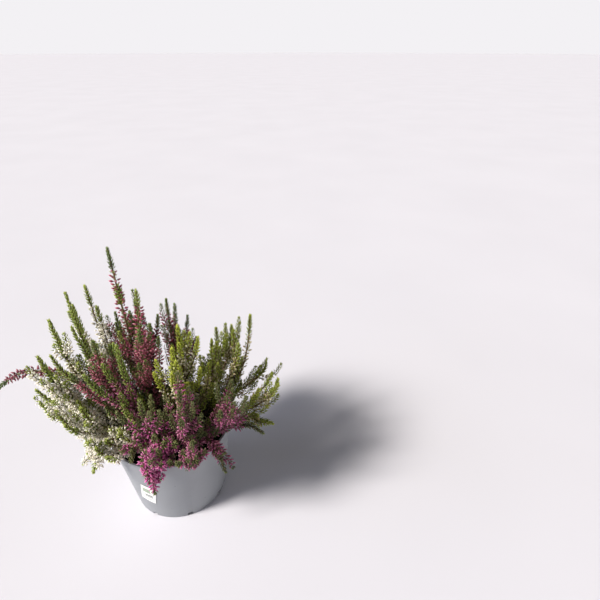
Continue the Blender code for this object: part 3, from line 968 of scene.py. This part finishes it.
def whorls(draw, begin, end, ring, count):
    """Distance and turn of each needle of rings that stand across the gaps of the ring below."""
    distance = begin + ring * draw.uniform(*FIRST_RING)
    turn = draw.uniform(0, 2 * pi)
    while distance < end:
        for index in range(count):
            place = distance + ring * draw.uniform(*RING_DRIFT)
            yield place, turn + 2 * pi * index / count + draw.gauss(0, NEEDLE_SWING)
        turn += pi / count + draw.gauss(0, RING_SWING)
        distance += ring * draw.uniform(*RING_GAPS)


def tint_of(draw, middle, spread=TINT_SPREAD):
    """A tint from 0, fresh, to 1, old."""
    return min(max(draw.gauss(middle, spread), 0), 1)


def green_tip(bm, draw, stamps, path, begin, habit, fine, age):
    """A growing tip: rings of needles that close up towards the point."""
    rows = []
    end = path.length
    low, high = NEEDLE_TILTS
    for distance, turn in whorls(draw, begin, end, NEEDLE_RING, NEEDLE_COUNT):
        share = min(max((distance - begin) / max(end - begin, MM), 0), 1)
        tilt = radians(low + (high - low) * share**2 + draw.gauss(0, NEEDLE_TILT_SPREAD))
        length = habit.needle * (1 - TIP_SHORTER * share**2) * draw.uniform(*NEEDLE_LENGTHS) * MM
        width = habit.broad * (1 - TIP_NARROWER * share) * MM
        tint = tint_of(draw, TIP_TINT - TIP_FRESHER * share + age)
        rows.append((distance, turn, tilt, length, width, tint))
    width = habit.broad * CROWN_NARROW * MM
    for index in range(CROWN_COUNT):
        turn = 2 * pi * index / CROWN_COUNT + draw.uniform(*CROWN_SWING)
        tilt = radians(draw.uniform(*CROWN_TILTS))
        rows.append((end - CROWN_DEPTH, turn, tilt, CROWN_LENGTH, width, CROWN_TINT + age))
    stand(bm, stamps["needle" if fine else "small_needle"], path, rows)


def full_needle(draw, place, habit, kind):
    """The row of one needle at a distance and turn part of the way up a shoot."""
    tilt = radians(draw.uniform(*kind.tilts))
    length = habit.needle * draw.uniform(*kind.lengths) * MM
    return (*place, tilt, length, habit.broad * kind.broad * MM, tint_of(draw, *kind.tint))


def sleeve(draw, begin, end, kind, spacing=1, size=1):
    """Short leaves along a length of wood."""
    rows = []
    for distance, turn in whorls(draw, begin, end, kind.ring * MM * spacing, kind.count):
        tilt = radians(draw.gauss(*kind.tilt))
        length = size * draw.uniform(*kind.lengths) * MM
        rows.append((distance, turn, tilt, length, kind.width * MM, tint_of(draw, *kind.tint)))
    return rows


def flowers(bm, draw, stamps, path, begin, end, habit, loose, age):
    """A flowering length: rings of florets, with needles among them, over short inner leaves."""
    closed, opened, among = [], [], []
    for distance, turn in whorls(draw, begin, end, habit.ring * loose * MM, habit.count):
        share = (distance - begin) / max(end - begin, MM)
        if draw.random() < (share - AMONG_FROM) * habit.leafy * AMONG_GAIN:
            among.append(full_needle(draw, (distance, turn), habit, AMONG))
            continue
        smaller = 1 if share < SMALLER_FROM else 1 - (share - SMALLER_FROM) * SMALLER_GAIN
        size = draw.uniform(*FLORET_SIZES) * smaller
        tilt = radians(habit.tilt + draw.gauss(0, FLORET_TILT_SPREAD))
        tint = tint_of(draw, FLORET_TINT - FLORET_FRESHER * share + age, FLORET_TINT_SPREAD)
        row = (distance, turn, tilt, habit.length * size * MM, habit.width * size * MM, tint)
        is_open = draw.random() < habit.opened and share < CLOSED_FROM
        (opened if is_open else closed).append(row)
    inner = sleeve(draw, begin, end, INNER_LEAVES, loose**0.5, habit.inner)
    stand(bm, stamps["bud"], path, closed)
    stand(bm, stamps["opened"], path, opened)
    stand(bm, stamps["small_needle"], path, inner + among)


def old_leaves(bm, draw, stamps, path, begin, end):
    """The lower wood keeps a thin cover of old needles."""
    stand(bm, stamps["small_needle"], path, sleeve(draw, begin, end, OLD_LEAVES))


def stem(bm, path, begin, end, radii, sides, tint):
    """A closed tube bent along a path, a little thinner at its end."""
    tube = bmesh.new()
    bmesh.ops.create_cone(tube, cap_ends=True, segments=sides, radius1=1, radius2=1, depth=1)
    upright = [edge for edge in tube.edges if edge.verts[0].co.z * edge.verts[1].co.z < 0]
    cuts = max(2, round((end - begin) / STEM_STEP))
    bmesh.ops.subdivide_edges(tube, edges=upright, cuts=cuts)
    layer = tube.loops.layers.uv.new(UV_NAME)
    for face in tube.faces:
        face.smooth = len(face.verts) == 4
        face.material_index = WOOD
        middle = face.calc_center_median()
        face_turn = atan2(middle.y, middle.x)
        for loop in face.loops:
            x, y, z = loop.vert.co
            if abs(middle.z) > CAP_FROM:
                around = 0.5 + CAP_AROUND * x
                height = 0.5 + CAP_ALONG * y
            else:
                apart = (atan2(y, x) - face_turn + pi) % (2 * pi)
                around = (face_turn + apart - pi) / (2 * pi)
                around = min(max(0.5 + around * SEAM_SHARE, 0), 1)
                height = min(max(z + 0.5, 0), 1)
            share = (1 - TINT_SHARE) * around + TINT_SHARE * tint
            loop[layer].uv = (WOOD_ZONE.start + WOOD_ZONE.width * share, height)
    points = np.array([vert.co[:] for vert in tube.verts])
    share = points[:, 2] + 0.5
    centre, _, right, front = path.frames(begin + (end - begin) * share)
    thick = (radii[0] + (radii[1] - radii[0]) * share)[:, None]
    bent = centre + (right * points[:, :1] + front * points[:, 1:2]) * thick
    for vert, place in zip(tube.verts, bent):
        vert.co = place
    join(bm, tube)


def clears_pot(points):
    """Whether a twig stays over the soil, inside the rim or wholly outside the wall."""
    for x, y, z in points:
        radius = hypot(x, y)
        if radius >= RIM_RADIUS + RIM_CLEAR:
            if z < POT_HEIGHT * HANG_LEAST:
                return False
        elif z < POT_HEIGHT + RIM_CLEAR:
            if radius > wall_radius(POT_HEIGHT) - WALL_CLEAR or z < SOIL_TOP + SOIL_CLEAR:
                return False
    return True


def inside_box(point):
    low, high = CAD_BOX
    return all(low[axis] + BOX_EASE < point[axis] < high[axis] - BOX_EASE for axis in range(3))


def twigs(bm, draw, stamps, path, habit, age, low, count, starts, drooping, flowering):
    """Short side twigs that turn up beside their shoot. Those in the dark keep only leaves."""
    lift = 0 if drooping else TWIG_LIFT
    for _ in range(count):
        start_share = draw.uniform(*starts)
        begin = path.length * start_share
        reach = draw.uniform(*TWIG_REACH) * (DROOPING_TWIG if drooping else 1)
        leafy = habit.leafy
        if draw.random() < GROWN_ON and not drooping:
            reach *= GROWN_ON_REACH
            leafy += GROWN_ON_LEAFY
        turn = draw.uniform(0, 2 * pi)
        spread = radians(draw.uniform(*TWIG_SPREAD))
        _, heading, right, front = (Vector(row[0]) for row in path.frames(np.array([begin])))
        start = path.at(begin)
        outwards = right * cos(turn) + front * sin(turn)
        away = heading * cos(spread) + outwards * sin(spread)
        upright = (heading + Vector((0, 0, lift))).normalized()
        end = start + away * reach * TWIG_OUT + upright * reach * TWIG_UP
        near = start + away * reach * TWIG_NEAR
        far = end - upright * reach * TWIG_FAR
        curve = interpolate_bezier(start, near, far, end, TWIG_STEPS)
        twig = Path(curve, np.array(heading.cross(outwards)))
        blooms = draw.random() < flowering and start_share > low
        free = twig.read(np.linspace(twig.length * FREE_FROM, twig.length, FREE_SAMPLES))
        if not (inside_box(end) and clears_pot(free)):
            continue
        stem(bm, twig, 0, twig.length, TWIG_RADII, TWIG_SIDES, draw.random())
        if blooms:
            green_from = twig.length * (1 - leafy)
            flowers(bm, draw, stamps, twig, twig.length * TWIG_BARE, green_from, habit, 1, age)
            green_tip(bm, draw, stamps, twig, green_from, habit, False, age)
            continue
        leaves_to = twig.length * (DARK_LEAVES_TO if flowering else 1)
        old_leaves(bm, draw, stamps, twig, twig.length * DARK_BARE, leaves_to)
        if flowering:
            green_from = twig.length * DARK_GREEN_FROM
            green_tip(bm, draw, stamps, twig, green_from, habit, False, max(age, DARK_AGE))


def finish_piece(bm, name, looks, node):
    """Makes the piece that stands for a node."""
    piece = new_object(name, mesh_of(bm, name))
    for look in looks:
        piece.data.materials.append(look)
    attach(piece, "root")
    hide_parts(node)
    return piece


def make_plants(looks, stamps):
    """Every spray, and every growing tip that is a node of its own."""
    named = {
        (plant, number): Shoot(*row)
        for plant, rows in SHOOTS.items()
        for number, row in enumerate(rows, 1)
    }
    shoots = list(named.values())
    mains = [main_path(root, shoot) for root, shoot in zip(place_roots(shoots), shoots)]
    sides = choose_sides(mains, shoots)
    foot = HOLE_DEPTH - GAP + FREE_STEM
    for index, (key, shoot) in enumerate(named.items()):
        plant, number = key
        draw = random.Random(PLANT_SEED + index)
        bearing = atan2(shoot.y, shoot.x)
        sideways = np.array((-sin(bearing), cos(bearing), 0))
        main = mains[index]
        main.sideways = sideways
        habit = HABITS[plant]._replace(**OWN_HABITS.get(key, {}))
        loose = LOOSE.get(key, 1)
        age = DULLED_AGE if key in DULLED or key == STRAY else 0
        fused = number in FUSED_TIPS[plant]
        green_from = main.length - (ALL_FLOWER_TIP if key == ALL_FLOWER else shoot.green) * MM
        bare_to = foot + (green_from - foot) * shoot.bare
        stem_to = main.length if fused else green_from
        bm = bmesh.new()
        stem(bm, main, 0, stem_to, (STEM_RADIUS, TWIG_RADIUS), STEM_SIDES, draw.random())
        old_leaves(bm, draw, stamps, main, foot + OLD_FROM, bare_to)
        flowers(bm, draw, stamps, main, bare_to, green_from, habit, loose, age)
        if key in TUFTS:
            tuft_from, tuft_to = (main.length - reach * MM for reach in TUFTS[key])
            places = whorls(draw, tuft_from, tuft_to, NEEDLE_RING * TUFT_RING, NEEDLE_COUNT + 1)
            rows = [full_needle(draw, place, habit, TUFT) for place in places]
            stand(bm, stamps["needle"], main, rows)
        if fused:
            green_tip(bm, draw, stamps, main, green_from, habit, True, age)
        for side in sides[index]:
            side.sideways = sideways
            green = min(shoot.green * MM * SIDE_GREEN, side.length * SIDE_GREEN_MOST)
            bare = side.length * SIDE_BARE
            radii = (TWIG_RADIUS, TWIG_RADIUS * SPIKE_THIN)
            stem(bm, side, 0, side.length, radii, SPIKE_SIDES, draw.random())
            old_leaves(bm, draw, stamps, side, OLD_FROM, bare)
            flowers(bm, draw, stamps, side, bare, side.length - green, habit, 1, age)
            green_tip(bm, draw, stamps, side, side.length - green, habit, True, age)
        drooping = shoot.droop > 0
        starts = TWIG_STARTS_BARE if loose >= BARE_FROM_LOOSE else TWIG_STARTS
        sets = [
            (TWIGS[plant], starts, drooping, TWIG_FLOWERING[plant]),
            (INNER_TWIGS, INNER_STARTS, drooping, 0),
        ]
        if key == ALL_FLOWER:
            sets.append((FULL_TWIGS, TWIG_STARTS_FULL, True, 1))
        if key != STRAY:
            for row in sets:
                twigs(bm, draw, stamps, main, habit, age, TWIG_LOW[plant], *row)
        part = f"spray_{number:02d}"
        leafage = LEAVES_OF.get(key, plant)
        finishes = [looks[f"{leafage}_leaf"], looks["wood"], looks[f"{plant}_floret"]]
        finish_piece(bm, f"{plant}_heather_{part}", finishes, f"{plant}_{part}")
        if not fused:
            bm = bmesh.new()
            radii = (TWIG_RADIUS, TWIG_RADIUS * TIP_THIN)
            stem(bm, main, green_from + GAP, main.length, radii, SPIKE_SIDES, draw.random())
            green_tip(bm, draw, stamps, main, green_from + GAP, habit, True, age)
            part = f"tip_{number:02d}"
            finishes = [looks[f"{TIP_LEAVES_OF.get(key, plant)}_leaf"], looks["wood"]]
            finish_piece(bm, f"{plant}_heather_{part}", finishes, f"{plant}_{part}")


def turned(profile, steps):
    """A solid turned about Z from a profile that starts and ends on the axis."""
    bm = bmesh.new()
    points = [bm.verts.new((radius, 0, z)) for radius, z in profile]
    edges = [bm.edges.new(pair) for pair in zip(points, points[1:])]
    bmesh.ops.spin(
        bm,
        geom=points + edges,
        axis=(0, 0, 1),
        cent=(0, 0, 0),
        steps=steps,
        angle=2 * pi,
        use_merge=True,
    )
    bmesh.ops.remove_doubles(bm, verts=bm.verts, dist=0.01 * MM)
    bmesh.ops.recalc_face_normals(bm, faces=bm.faces)
    return bm


def make_pot(looks):
    """A rounded thin wall and floor, with its drain notches cut out."""
    under_lip = POT_HEIGHT - LIP_DEPTH
    profile = [
        (0, 0),
        (BASE_RADIUS - BASE_CHAMFER, 0),
        (wall_radius(BASE_CHAMFER), BASE_CHAMFER),
        (wall_radius(under_lip), under_lip),
        (RIM_RADIUS, under_lip + LIP_STAND),
        (RIM_RADIUS, POT_HEIGHT),
        (wall_radius(POT_HEIGHT) - POT_WALL, POT_HEIGHT),
        (wall_radius(POT_FLOOR) - POT_WALL, POT_FLOOR),
        (0, POT_FLOOR),
    ]
    bm = turned(profile, POT_STEPS)
    rounded = [edge for edge in bm.edges if edge.is_manifold and edge.calc_face_angle() > EDGE_TURN]
    bmesh.ops.bevel(
        bm,
        geom=rounded,
        offset=EDGE_ROUND,
        offset_type="OFFSET",
        affect="EDGES",
        segments=EDGE_SEGMENTS,
        profile=0.5,
        material=-1,
    )
    wall = new_object("pot_wall", mesh_of(bm, "pot_wall"))
    cutters = bpy.data.collections.new("cutters")
    bpy.context.scene.collection.children.link(cutters)
    for index in range(DRAIN_NOTCHES):
        turn = Matrix.Rotation(2 * pi * (index + 0.5) / DRAIN_NOTCHES, 3, "Z")
        size = (DRAIN_REACH * 2, DRAIN_WIDTH, DRAIN_HEIGHT * 2)
        notch = bmesh.new()
        bmesh.ops.create_cube(notch, size=1)
        bmesh.ops.scale(notch, vec=size, verts=notch.verts)
        bmesh.ops.translate(notch, vec=(BASE_RADIUS, 0, 0), verts=notch.verts)
        bmesh.ops.rotate(notch, verts=notch.verts, matrix=turn)
        cutters.objects.link(bpy.data.objects.new(f"notch_{index}", mesh_of(notch, "notch")))
    cut = wall.modifiers.new("Boolean", "BOOLEAN")
    cut.operation = "DIFFERENCE"
    cut.operand_type = "COLLECTION"
    cut.collection = cutters
    cut.solver = "EXACT"
    bpy.context.view_layer.update()
    graph = bpy.context.evaluated_depsgraph_get()
    shaped = bpy.data.meshes.new_from_object(wall.evaluated_get(graph))
    for tool in list(cutters.objects):
        bpy.data.objects.remove(tool, do_unlink=True)
    bpy.data.collections.remove(cutters)
    bpy.data.objects.remove(wall, do_unlink=True)
    bm = bmesh.new()
    bm.from_mesh(shaped)
    bpy.data.meshes.remove(shaped)
    pot = finish_piece(bm, "heather_pot", [looks["plastic"]], "pot")
    pot.data.shade_smooth()
    pot.data.set_sharp_from_angle(angle=SHARP_TURN)


def soil_height(x, y):
    """Crumbly peat: gentle bumps that keep clear of the rim."""
    along, across, fine = SOIL_WAVES
    wave = sin(x / along + SOIL_SHIFT) * cos(y / across)
    return SOIL_TOP + SOIL_BUMP * (wave + SOIL_FINE * sin((x + y) / fine))


def make_soil(looks):
    """A filling of peat, rough on top, with loose crumbs on it."""
    outer = wall_radius(SOIL_TOP) - POT_WALL - 2 * GAP
    bottom = POT_FLOOR + GAP
    lower = wall_radius(bottom) - POT_WALL - 2 * GAP
    profile = [(0, bottom), (lower, bottom), (outer, SOIL_TOP)]
    profile += [(outer * ring / SOIL_RINGS, SOIL_TOP) for ring in range(SOIL_RINGS - 1, -1, -1)]
    bm = turned(profile, SOIL_STEPS)
    for vert in bm.verts:
        if vert.co.z > SOIL_TOP - GAP and hypot(vert.co.x, vert.co.y) < outer - GAP:
            coarse, fine = (noise.noise(vert.co / wave) for wave in GRAIN_WAVES)
            vert.co.z = soil_height(vert.co.x, vert.co.y) + (coarse + SOIL_FINE * fine) * SOIL_GRAIN
    for face in bm.faces:
        face.smooth = True
    crumb = bmesh.new()
    bmesh.ops.create_icosphere(crumb, subdivisions=1, radius=1)
    for vert in crumb.verts:
        vert.co *= 1 + CRUMB_ROUGH * noise.noise(vert.co * CRUMB_WAVE)
    mesh = mesh_of(crumb, "crumb")
    points = np.array([vert.co[:] for vert in mesh.vertices])
    draw = random.Random(CRUMB_SEED)
    for _ in range(CRUMBS):
        radius = (outer - CRUMB_INSET) * sqrt(draw.random())
        bearing = draw.uniform(0, 2 * pi)
        x, y = radius * cos(bearing), radius * sin(bearing)
        size = draw.uniform(*CRUMB_SIZES) * MM
        spin = Matrix.Rotation(draw.uniform(*CRUMB_TURNS), 3, "Z")
        shape = Matrix.Diagonal((size, *(size * share for share in CRUMB_SHAPE)))
        place = np.array((x, y, soil_height(x, y) + size * CRUMB_LIFT))
        moved = points @ np.array(spin @ shape).T + place
        mesh.vertices.foreach_set("co", moved.astype(np.float32).ravel())
        bm.from_mesh(mesh)
    bpy.data.meshes.remove(mesh)
    finish_piece(bm, "heather_peat", [looks["peat"]], "soil")


def make_label(looks):
    """A thin sheet wrapped on the cone of the wall, turned a little on it."""
    bm = bmesh.new()
    across_steps, along_steps = LABEL_STEPS
    bmesh.ops.create_grid(bm, x_segments=across_steps, y_segments=along_steps, size=0.5)
    layer = bm.loops.layers.uv.new(UV_NAME)
    for face in bm.faces:
        for loop in face.loops:
            loop[layer].uv = (loop.vert.co.x + 0.5, loop.vert.co.y + 0.5)
    turn = Matrix.Rotation(LABEL_LEAN, 2)
    for vert in bm.verts:
        across, along = turn @ Vector((vert.co.x * LABEL_WIDTH, vert.co.y * LABEL_HEIGHT))
        z = LABEL_MIDDLE + along
        radius = wall_radius(z) + GAP
        bearing = LABEL_BEARING + across / radius
        vert.co = (radius * cos(bearing), radius * sin(bearing), z)
    bmesh.ops.recalc_face_normals(bm, faces=bm.faces)
    first = next(iter(bm.faces))
    if first.normal.dot(first.calc_center_median()) < 0:
        bmesh.ops.reverse_faces(bm, faces=bm.faces)
    bmesh.ops.solidify(bm, geom=bm.faces, thickness=-LABEL_THICKNESS)
    bmesh.ops.recalc_face_normals(bm, faces=bm.faces)
    finish_piece(bm, "heather_pot_label", [looks["paper"]], "label")


def make_studio(looks):
    """A pale floor, soft light from the left front, and the camera at the photo's angle."""
    bm = bmesh.new()
    bmesh.ops.create_circle(bm, cap_ends=True, segments=FLOOR_SIDES, radius=FLOOR_RADIUS)
    floor = new_object("studio_floor", mesh_of(bm, "studio_floor"))
    floor.data.materials.append(looks["floor"])
    floor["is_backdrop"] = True
    for name, bearing, height, strength, spread, tone in LIGHTS:
        lamp = bpy.data.lights.new(name, "SUN")
        lamp.energy = strength
        lamp.angle = radians(spread)
        lamp.color = linear(tone)[:3]
        holder = new_object(name, lamp)
        holder.rotation_euler = (radians(90 - height), 0, radians(bearing))
    world = bpy.data.worlds.new("studio_air")
    world.use_nodes = True
    tree = world.node_tree
    place = add_node(tree, "TexCoord").outputs["Generated"]
    split = add_node(tree, "SeparateXYZ", links={"Vector": place})
    sky = add_node(
        tree,
        "ValToRGB",
        links={"Fac": split.outputs["Z"]},
        stops=[(0.33, "#F3F1F4"), (0.46, "#2C2B2A"), (1, "#3A3937")],
    )
    tree.links.new(sky.outputs["Color"], tree.nodes["Background"].inputs["Color"])
    bpy.context.scene.world = world
    bpy.context.scene.view_settings.view_transform = "Standard"
    camera = bpy.data.cameras.new("camera")
    camera.lens = CAMERA_LENS
    camera.sensor_width = CAMERA_SENSOR
    camera.clip_end = CAMERA_FAR
    eye = new_object("camera", camera)
    eye.location = CAMERA_PLACE
    eye.rotation_euler = (radians(90 - CAMERA_DOWN), 0, 0)
    bpy.context.scene.camera = eye


looks = make_materials()
make_plants(looks, make_stamps())
make_pot(looks)
make_soil(looks)
make_label(looks)
make_studio(looks)

boxes = {"cad": CAD_BOX, "visual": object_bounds()}
{name: [list(corner) for corner in box] for name, box in boxes.items()}
